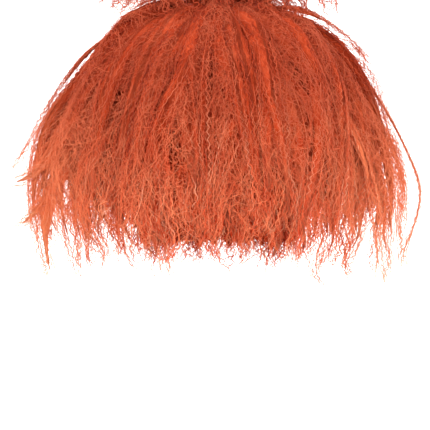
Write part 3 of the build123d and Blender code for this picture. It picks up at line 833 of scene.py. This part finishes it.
def draw_locks(name, members, material):
    """One mesh of the felted bundles under the strands, with a fibre map in metres.
    Every ring of a bundle has its own width, thickness and frame, so the rings are worked out here."""
    rings, sides = 44, 12
    points, faces, maps, along, tones = [], [], [], [], []
    for one in members:
        base = len(points) * rings * sides
        t = np.linspace(0, 1, rings)
        turn = np.linspace(0, 2 * math.pi, sides, endpoint=False)
        share = np.repeat(t, sides) * one["felt_end"]
        turns = np.tile(turn, rings)
        lobes = 0.1 * np.sin(turns * random.integers(2, 5) + share * random.uniform(8, 20)
                             + random.uniform(0, 6))
        out = (0.9 + lobes + random.normal(0, 0.07, rings * sides)) * (1 - 0.9 * np.repeat(t, sides) ** 4)
        out = out * (1 - 0.6 * np.exp(-25 * np.repeat(t, sides)))
        body = on_lock(one, share, turns, out)
        points.append(clear_of_head(body, share))
        for r in range(rings - 1):
            for s in range(sides):
                near, far = base + r * sides, base + (r + 1) * sides
                faces.append((near + s, near + (s + 1) % sides, far + (s + 1) % sides, far + s))
        faces.append(tuple(base + s for s in reversed(range(sides))))
        faces.append(tuple(base + (rings - 1) * sides + s for s in range(sides)))
        round_it = 2 * math.pi * math.sqrt(one["wide"].max() * one["thick"].max())
        shift = random.uniform(0, 3)
        maps.append(np.stack([turns / (2 * math.pi) * round_it + shift, share * one["length"] + shift],
                             axis=1))
        along.append(share)
        tones.append(np.full(rings * sides, one["tone"]))
    mesh = bpy.data.meshes.new(name)
    mesh.from_pydata(np.concatenate(points), [], faces)
    place = np.concatenate(maps)
    corner = np.empty(len(mesh.loops), dtype=np.int32)
    mesh.loops.foreach_get("vertex_index", corner)
    fibre_map = mesh.uv_layers.new(name="fibre")
    fibre_map.data.foreach_set("uv", place[corner].ravel())
    return finish_piece(name, mesh, material,
                        {"root_to_tip": np.concatenate(along), "tone": np.concatenate(tones)})


def colour_of_hair(tree, tone, along, place, painted_tip_light):
    """Deep red where the tone is low: partly the fibre's own darker tone, partly a painted shade like
    that in the valleys. Dull salmon high on the head, and stronger orange low down, brightened there
    by painted light let through the hanging hair. Paler at the sides, as painted light where the hair
    thins out and lets light through, and a pale apricot painted backlight at the tips."""
    ramps = []
    # The deep red at the low end of each ramp is partly the fibre's own darker tone, partly painted shade.
    for shades in (("#6E1808", "#BE421F", "#DC6A46"), ("#942004", "#E34B1E", "#FF9262")):
        ramp = add_node(tree, "ValToRGB", {}, {"Fac": tone})
        ramp.color_ramp.elements[0].position, ramp.color_ramp.elements[1].position = 0.1, 0.95
        ramp.color_ramp.elements[0].color = linear(shades[0])
        ramp.color_ramp.elements[1].color = linear(shades[2])
        ramp.color_ramp.elements.new(0.5).color = linear(shades[1])
        ramps.append(ramp)
    split = add_node(tree, "SeparateXYZ", {}, {"Vector": place})
    # Lower down, the hair mixes to the brighter, more orange ramp: partly its own colour, partly painted
    # light let through the hanging hair.
    low = add_node(tree, "MapRange", {}, {"Value": split.outputs["Z"], "From Min": 0.11, "From Max": -0.02})
    body = add_node(tree, "Mix", {"data_type": "RGBA"},
                    {"Factor": low.outputs["Result"], 6: ramps[0].outputs["Color"],
                     7: ramps[1].outputs["Color"]})
    # Painted light: the sides of the lower hair are mixed toward a bright orange, in place of light let
    # through the sparser hair there.
    beside = add_node(tree, "Math", {"operation": "ABSOLUTE"}, {0: split.outputs["X"]})
    painted_side_light = add_node(tree, "MapRange", {},
                    {"Value": beside.outputs[0], "From Min": 0.11, "From Max": 0.2, "To Max": 0.75})
    painted_side_light = add_node(tree, "Math", {"operation": "MULTIPLY"},
                    {0: painted_side_light.outputs["Result"], 1: low.outputs["Result"]})
    body = add_node(tree, "Mix", {"data_type": "RGBA"},
                    {"Factor": painted_side_light.outputs[0], 6: body.outputs[2], 7: linear("#FF8E5C")})
    # Painted backlight: toward the tips the lower hair is mixed to pale apricot, in place of light through
    # the sparse, translucent tips.
    pale = add_node(tree, "MapRange", {},
                    {"Value": along, "From Min": 0.66, "From Max": 0.95, "To Max": painted_tip_light})
    tip_backlight = add_node(tree, "Math", {"operation": "MULTIPLY"},
                    {0: pale.outputs["Result"], 1: low.outputs["Result"]})
    tipped = add_node(tree, "Mix", {"data_type": "RGBA"},
                      {"Factor": tip_backlight.outputs[0], 6: body.outputs[2], 7: linear("#F6AE88")})
    return tipped.outputs[2]


strand_section = profile("strand_section", 3)

# The long crimped strands: one fibre's tone differs from the next, and along the fibre it shifts to a painted
# backlight at the tip.
fibre, tree, surface = new_material("crimped_modacrylic_fibre")
tone = add_node(tree, "Attribute", {"attribute_name": "tone"})
along = add_node(tree, "Attribute", {"attribute_name": "root_to_tip"})
place = add_node(tree, "TexCoord").outputs["Object"]
mottle = add_node(tree, "TexNoise", {}, {"Vector": place, "Scale": 45.0, "Detail": 4.0})
mixed = add_node(tree, "Math", {"operation": "MULTIPLY_ADD"},
                 {0: mottle.outputs["Fac"], 1: 0.5, 2: tone.outputs["Fac"]})
tree.links.new(colour_of_hair(tree, mixed.outputs[0], along.outputs["Fac"], place, 0.9),
               surface.inputs["Base Color"])
fine = add_node(tree, "TexNoise", {}, {"Vector": place, "Scale": 900.0, "Detail": 2.0})
rough = add_node(tree, "MapRange", {}, {"Value": fine.outputs["Fac"], "To Min": 0.45, "To Max": 0.75})
tree.links.new(rough.outputs["Result"], surface.inputs["Roughness"])
bump = add_node(tree, "Bump", {}, {"Height": fine.outputs["Fac"], "Strength": 0.4, "Distance": 0.0005})
tree.links.new(bump.outputs["Normal"], surface.inputs["Normal"])
surface.inputs["Specular IOR Level"].default_value = 0.25

# The felted bundles: fine fibres, crimped every 8 mm, run along each lock and cross each other.
# The fibres are drawn 1.4 mm wide, far coarser than real, so that they show.
felt, tree, surface = new_material("teased_modacrylic_felt")
tone = add_node(tree, "Attribute", {"attribute_name": "tone"})
along = add_node(tree, "Attribute", {"attribute_name": "root_to_tip"})
place = add_node(tree, "TexCoord").outputs["Object"]
fibre_map = add_node(tree, "UVMap", {"uv_map": "fibre"}).outputs["UV"]
fray = add_node(tree, "TexNoise", {}, {"Vector": place, "Scale": 90.0, "Detail": 3.0})
frayed = add_node(tree, "VectorMath", {"operation": "SCALE"}, {0: fray.outputs["Color"], "Scale": 0.006})
moved = add_node(tree, "VectorMath", {"operation": "ADD"}, {0: fibre_map, 1: frayed.outputs["Vector"]})
axes = add_node(tree, "SeparateXYZ", {}, {"Vector": moved.outputs["Vector"]})
phase = add_node(tree, "Math", {"operation": "MULTIPLY"}, {0: axes.outputs["Y"], 1: 2 * math.pi / 0.008})
wave = add_node(tree, "Math", {"operation": "SINE"}, {0: phase.outputs[0]})
crimped = add_node(tree, "Math", {"operation": "MULTIPLY_ADD"},
                   {0: wave.outputs[0], 1: 0.0011, 2: axes.outputs["X"]})
streaks = []
for across, down in ((0.0014, 0.014), (0.0035, 0.045)):
    stretched = add_node(tree, "CombineXYZ")
    for socket, source, size in (("X", crimped.outputs[0], across), ("Y", axes.outputs["Y"], down)):
        scaled = add_node(tree, "Math", {"operation": "DIVIDE"}, {0: source, 1: size})
        tree.links.new(scaled.outputs[0], stretched.inputs[socket])
    streaks.append(add_node(tree, "TexNoise", {},
                            {"Vector": stretched.outputs["Vector"], "Scale": 1.0, "Detail": 3.0}))
mottle = add_node(tree, "TexNoise", {}, {"Vector": place, "Scale": 55.0, "Detail": 5.0})
sum_of = add_node(tree, "Math", {"operation": "MULTIPLY_ADD"},
                  {0: streaks[0].outputs["Fac"], 1: 1.0, 2: tone.outputs["Fac"]})
sum_of = add_node(tree, "Math", {"operation": "MULTIPLY_ADD"},
                  {0: streaks[1].outputs["Fac"], 1: 0.7, 2: sum_of.outputs[0]})
sum_of = add_node(tree, "Math", {"operation": "MULTIPLY_ADD"},
                  {0: mottle.outputs["Fac"], 1: 0.5, 2: sum_of.outputs[0]})
level = add_node(tree, "Math", {"operation": "SUBTRACT"}, {0: sum_of.outputs[0], 1: 0.92})
tree.links.new(colour_of_hair(tree, level.outputs[0], along.outputs["Fac"], place, 0.5),
               surface.inputs["Base Color"])
surface.inputs["Roughness"].default_value = 0.85
surface.inputs["Specular IOR Level"].default_value = 0.12
bump = add_node(tree, "Bump", {}, {"Height": sum_of.outputs[0], "Strength": 1.0, "Distance": 0.003})
tree.links.new(bump.outputs["Normal"], surface.inputs["Normal"])


def comb_group(node, members, covers, fuzz, loose=2, more=()):
    """All the locks of one part of the wig: the felted bundles, the strands over them, and
    fibres combed loose."""
    under = draw_locks(node + "_felt", members, felt)
    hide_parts(node)
    strands = [made for one in members for made in comb_out(one, covers, fuzz, loose)]
    draw_strands(node + "_strands", strands, fibre, strand_section)
    if more:
        draw_strands(node + "_flyaways", more, fibre, strand_section)


def teased(count, bearings, depths):
    """Short fibres combed loose from their locks, which lie every way over the hair and felt
    it together."""
    made = []
    for _ in range(count):
        bearing, angle = random.uniform(*bearings), math.degrees(math.acos(random.uniform(-0.03, 0.97)))
        heading, length = random.normal(0, 0.75), random.uniform(0.02, 0.065)
        steps = max(6, int(2 * length / 0.0065))
        t = np.linspace(0, 1, steps)
        wander = heading + random.normal(0, 0.5) * t
        down = np.cumsum(np.cos(wander)) / steps * length
        around = np.cumsum(np.sin(wander)) / steps * length
        far = reach(bearing)
        angles = angle + np.degrees(down / far)
        bearings_now = bearing + np.degrees(around / (far * max(0.25, math.sin(math.radians(angle)))))
        depth = random.uniform(*depths) - random.uniform(0, 0.03) * t
        face = random.uniform(128, 143)
        turned_back = np.sign(bearings_now) * (2 * face - np.abs(bearings_now))
        bearings_now = np.where(np.abs(bearings_now) > face, turned_back, bearings_now)
        points = np.array([dome(b, d, min(a, 90)) - np.array((0, 0, max(0.0, a - 90) * HEM_RISE))
                           for b, d, a in zip(bearings_now, depth, angles)])
        zigzag = np.where(np.arange(steps) % 2 == 0, 1.0, -1.0) * random.uniform(0.5, 1.2, steps) * 0.0010
        points = points + zigzag[:, None] * np.cross(points[-1] - points[0], random.normal(0, 1, 3)) / length
        share = (0.25 + 0.7 * angle / 90) * np.ones(steps)
        made.append((points, FIBRE_WIDE * random.uniform(0.4, 0.7) * (1 - 0.5 * t**2),
                     random.normal(0.48, 0.1), share * 0.8))
    return made


def fall(bearing, depth, leave, root_height, tip, drift, curly=1.0):
    """The knots of a lock that rises from the cap, arches over the dome and hangs."""
    root = on_cap(bearing, root_height)
    joins = dome(bearing, depth, leave)
    knots = [root, root + 0.5 * (joins - root) + np.array((0, 0, 0.010))]
    sway = random.normal(0, 8)
    for share in (0, 0.25, 0.5, 0.75, 1.0):
        turn = max(-FACE_OPEN, min(FACE_OPEN, bearing + drift * share + sway * math.sin(share * 5)))
        knots.append(dome(turn, depth + random.normal(0, 0.02), leave + (90 - leave) * share))
    last = knots[-1]
    radial = np.array((last[0], last[1], 0)) / math.hypot(last[0], last[1])
    sideways = np.cross(radial, (0, 0, 1))
    beside = 1 - min(1, abs(abs(bearing) - 90) / 50)
    lean, swing = random.normal(-0.010 - 0.014 * beside, 0.010), random.normal(0, 0.018)
    if abs(bearing) > 115:
        lean, swing = min(0.008, abs(lean)), math.copysign(abs(swing), bearing)
    for share, wave in ((0.25, 0.5), (0.5, -1.0), (0.75, 1.0), (1.0, -1.0)):
        curl = curly * wave * random.uniform(0.003, 0.013)
        knots.append(last + radial * lean * share + sideways * (swing * share + curl)
                     + np.array((0, 0, (tip - WIDEST_HEIGHT) * share)))
    return knots


def region_of(bearing, ends):
    """The part of the wig that a bearing lies in, from where each part ends, with its side."""
    part = next(name for name, end in ends.items() if abs(bearing) < end)
    return part if part == "back" else part + ("_left" if bearing > 0 else "_right")


def empty_regions(parts):
    """No locks yet in the back, nor in the left and right of each other part."""
    return {"back": []} | {part + side: [] for part in parts for side in ("_left", "_right")}


# ---------------------------------------------------------------------------
# Outer hair: the long locks sewn on round the crown. They rise over the shorter hair under
# them, arch over and hang to the hem, each gathered to a thin tip.
# ---------------------------------------------------------------------------
OUTER_ENDS = {"back": 34, "rear": 78, "side": 121, "front": 180}
OUTER_SPANS = {"back": (-34, 34), "rear": (34, 78), "side": (78, 121), "front": (121, 140)}
HAIRLINE_TURN = 142
SIDES_FROM, SIDES_TO = 52, 125
regions = empty_regions(("rear", "side", "front"))
for depth, count, wide in ((0.03, 48, 0.016), (0.17, 42, 0.019)):
    for n in range(count):
        bearing = -HAIRLINE_TURN + 2 * HAIRLINE_TURN * (n + 0.5) / count + random.uniform(-2.5, 2.5)
        tip = random.uniform(-0.122, -0.06) if random.uniform() < 0.6 else random.uniform(-0.075, -0.03)
        if abs(bearing) < 26:
            tip = random.uniform(-0.085, -0.03)
        beside, slim, stands_off = SIDES_FROM < abs(bearing) < SIDES_TO, 1.0, random.uniform(-0.03, 0.04)
        if beside and depth < 0.1:
            tip, slim, stands_off = random.uniform(-0.124, -0.1), 0.5, random.uniform(-0.07, 0.12)
        elif beside:
            low, slim = ((-0.124, -0.1), 0.6) if n % 3 == 0 else ((-0.07, -0.02), 0.9)
            tip = random.uniform(*low)
            stands_off += 0.08
        knots = fall(bearing, depth + stands_off, random.uniform(8, 24), 0.115, tip,
                     random.normal(0, 12), 1.7 if beside else 1.0)
        if beside and depth < 0.1 and n % 2:
            continue
        regions[region_of(bearing, OUTER_ENDS)].append(
            lock(knots, wide * slim * random.uniform(0.8, 1.2), 0.009, random.uniform(0.15, 0.45)))
# Part of the wig, width and tone of each lock that strays from the mass, and its knots.
STRAY_LOCKS = (
    ("side_left", 0.004, 0.7,
     ((0.10, -0.02, 0.175), (0.150, 0.00, 0.146), (0.180, 0.03, 0.098), (0.203, 0.04, 0.060),
      (0.222, 0.03, 0.024), (0.238, 0.04, 0.000))),
    ("rear_left", 0.014, 0.35,
     ((0.13, 0.06, 0.125), (0.165, 0.07, 0.06), (0.188, 0.06, 0.018), (0.214, 0.05, -0.002),
      (0.239, 0.04, -0.010))),
    ("rear_left", 0.010, 0.45,
     ((0.14, 0.06, 0.06), (0.180, 0.06, -0.01), (0.206, 0.05, -0.040), (0.229, 0.04, -0.060))),
    ("side_left", 0.006, 0.5,
     ((0.15, -0.01, 0.09), (0.190, 0.00, 0.02), (0.207, -0.02, -0.025), (0.222, -0.01, -0.062))),
    ("side_left", 0.013, 0.55,
     ((0.15, 0.02, 0.08), (0.186, 0.055, 0.00), (0.200, 0.045, -0.06), (0.187, 0.065, -0.117))),
    ("side_right", 0.0016, 0.45,
     ((-0.10, 0.0, 0.178), (-0.165, 0.0, 0.118), (-0.204, 0.0, 0.052), (-0.228, 0.0, 0.0),
      (-0.233, 0.0, -0.03), (-0.218, 0.0, -0.075), (-0.205, 0.0, -0.1), (-0.230, 0.0, -0.108))),
    ("side_right", 0.006, 0.4,
     ((-0.13, 0.02, 0.13), (-0.186, 0.02, 0.06), (-0.208, 0.02, 0.0), (-0.203, 0.02, -0.06),
      (-0.210, 0.02, -0.11))),
    ("side_right", 0.004, 0.5,
     ((-0.05, 0.04, 0.190), (-0.092, 0.05, 0.190), (-0.132, 0.04, 0.166), (-0.170, 0.05, 0.130))),
    ("rear_right", 0.007, 0.6,
     ((-0.12, 0.09, 0.10), (-0.165, 0.1, 0.02), (-0.172, 0.09, -0.06), (-0.184, 0.08, -0.122))),
)
for part, wide, tone, knots in STRAY_LOCKS:
    regions[part].append(lock(knots, wide, wide * 0.7, tone, root=0.3, tip=0.3,
                              felt_end=0.94 if wide > 0.008 else 0.5))
for part, members in regions.items():
    near, far = OUTER_SPANS[part.split("_")[0]]
    span = (-far, -near) if part.endswith("_right") else (near, far)
    density = 24 if near < OUTER_ENDS["rear"] else 8
    fibres = teased(int(density * (far - near)), span, (-0.04, 0.05))
    comb_group("outer_hair_" + part, members, 10, 34, 3, more=fibres)

# ---------------------------------------------------------------------------
# Inner hair: shorter, denser locks from the rows of weft below the crown, which hold the
# outer hair away from the head.
# ---------------------------------------------------------------------------
INNER_ENDS = {"back": 40, "side": 92, "front": 180}
INNER_WIDE = 0.018
regions = empty_regions(("side", "front"))
for depth, count in ((0.36, 34), (0.62, 26)):
    for n in range(count):
        bearing = -HAIRLINE_TURN + 2 * HAIRLINE_TURN * (n + 0.5) / count + random.uniform(-2.5, 2.5)
        raised = 0.025 * (50 < abs(bearing) < 125)
        knots = fall(bearing, depth + random.uniform(-0.04, 0.04), random.uniform(25, 36),
                     0.098 - 0.05 * (depth - 0.3),
                     random.uniform(-0.118, -0.075) + raised + 0.02 * (-112 < bearing < -52),
                     random.normal(0, 6))
        regions[region_of(bearing, INNER_ENDS)].append(
            lock(knots, INNER_WIDE * random.uniform(0.8, 1.2), 0.010, random.uniform(0.1, 0.35)))
for height, count in ((0.045, 15), (0.014, 15)):
    for n in range(count):
        bearing = -74 + 148 * (n + 0.5) / count + random.uniform(-2, 2)
        root = on_cap(bearing, height, 0.004)
        out = math.hypot(root[0], root[1])
        knots = [root, at(bearing, out + 0.012, height - 0.012), at(bearing, out + 0.022, height - 0.045),
                 at(bearing, out + random.uniform(0.018, 0.032), height - random.uniform(0.075, 0.095))]
        regions[region_of(bearing, INNER_ENDS)].append(lock(knots, 0.017, 0.008, random.uniform(0.05, 0.3),
                                                            tip=0.5, felt_end=0.8))
for part, members in regions.items():
    comb_group("inner_hair_" + part, members, 6, 10)

# ---------------------------------------------------------------------------
# Nape hair: short tufts from the lowest rows of weft, which cover the band at the neck.
# ---------------------------------------------------------------------------
tufts = []
for n in range(34):
    bearing = -58 + 116 * (n + 0.5) / 34
    root = on_cap(bearing, random.uniform(-0.035, -0.005), 0.003)
    out = math.hypot(root[0], root[1])
    knots = [root, at(bearing, out + 0.014, root[2] - 0.02), at(bearing, out + 0.016, -0.06),
             at(bearing * 1.1 + random.normal(0, 3), out + random.uniform(0.006, 0.02),
                random.uniform(-0.102, -0.088))]
    tufts.append(lock(knots, 0.013, 0.008, random.uniform(0.0, 0.3), tip=0.6, felt_end=0.72))
comb_group("nape_hair", tufts, 20, 22, 1)

# ---------------------------------------------------------------------------
# Crown hair: tufts from the rings of weft on top, teased up into a puff and drooping over.
# ---------------------------------------------------------------------------
tufts = []
for n in range(36):
    bearing = 360 * n / 36 + random.uniform(-6, 6)
    root = on_cap(bearing, random.uniform(0.112, 0.121))
    far = random.uniform(0.05, 0.09) + 0.05 * abs(math.sin(math.radians(bearing))) * random.uniform(0.4, 1)
    peak = random.uniform(0.207, 0.221)
    knots = [root, at(bearing, 0.03, 0.165), at(bearing, far * 0.3, peak - 0.008),
             at(bearing, far * 0.55, peak), at(bearing + random.normal(0, 8), far * 0.85, peak - 0.010),
             at(bearing + random.normal(0, 14), far, random.uniform(0.178, 0.198))]
    tufts.append(lock(knots, 0.015, 0.008, random.uniform(0.1, 0.45), full=0.5, felt_end=0.62))
for n in range(8):
    root = on_cap(45 * n, 0.1225)
    bend = random.uniform(0, 360)
    knots = [root, at(45 * n, 0.016, 0.16), at(45 * n, 0.018, 0.200), at(bend, 0.022, 0.222),
             at(bend, 0.046, random.uniform(0.212, 0.222))]
    tufts.append(lock(knots, 0.013, 0.012, random.uniform(0.1, 0.45), full=0.5, felt_end=0.7))
for side in (1, -1):
    for far in (0.098, 0.116, 0.134):
        knots = [(side * 0.015, 0.02, 0.125), (side * 0.03, 0.03, 0.18), (side * 0.06, 0.04, 0.206),
                 (side * far * 0.8, 0.05, 0.209), (side * far, 0.05, 0.201),
                 (side * (far + random.uniform(-0.006, 0.01)), 0.05, random.uniform(0.178, 0.188))]
        tufts.append(lock(knots, 0.007, 0.006, random.uniform(0.3, 0.5), full=0.5, felt_end=0.6))
comb_group("crown_hair", tufts, 14, 26, 3, more=teased(500, (0, 360), (-0.1, 0.0)))

# ---------------------------------------------------------------------------
# Front hair: locks from the front row of weft, rolled up off the forehead and combed back
# and sideways over the crown.
# ---------------------------------------------------------------------------
for side, name in ((1, "left"), (-1, "right")):
    rolls = []
    for depth, count in ((0.0, 9), (0.3, 8)):
        for n in range(count):
            bearing = side * (180 - 38 * (n + 0.5) / count) + random.uniform(-2, 2)
            root = on_cap(bearing, 0.080, 0.006)
            out = math.hypot(root[0], root[1])
            edge = reach(bearing)
            knots = [root, at(bearing, out + 0.02, 0.082), at(bearing, edge * (0.74 - 0.15 * depth), 0.10),
                     at(bearing - side * 4, edge * (0.76 - 0.2 * depth), 0.145),
                     at(bearing - side * 8, edge * (0.58 - 0.2 * depth), 0.182 - 0.02 * depth),
                     at(bearing - side * 14, edge * 0.36, 0.203 - 0.03 * depth),
                     at(bearing - side * 20, edge * 0.2, 0.206 - 0.03 * depth)]
            rolls.append(lock(knots, 0.016, 0.010, random.uniform(0.1, 0.45), tip=0.4))
    comb_group("front_hair_" + name, rolls, 12, 40, 0)

bpy.data.objects.remove(strand_section)
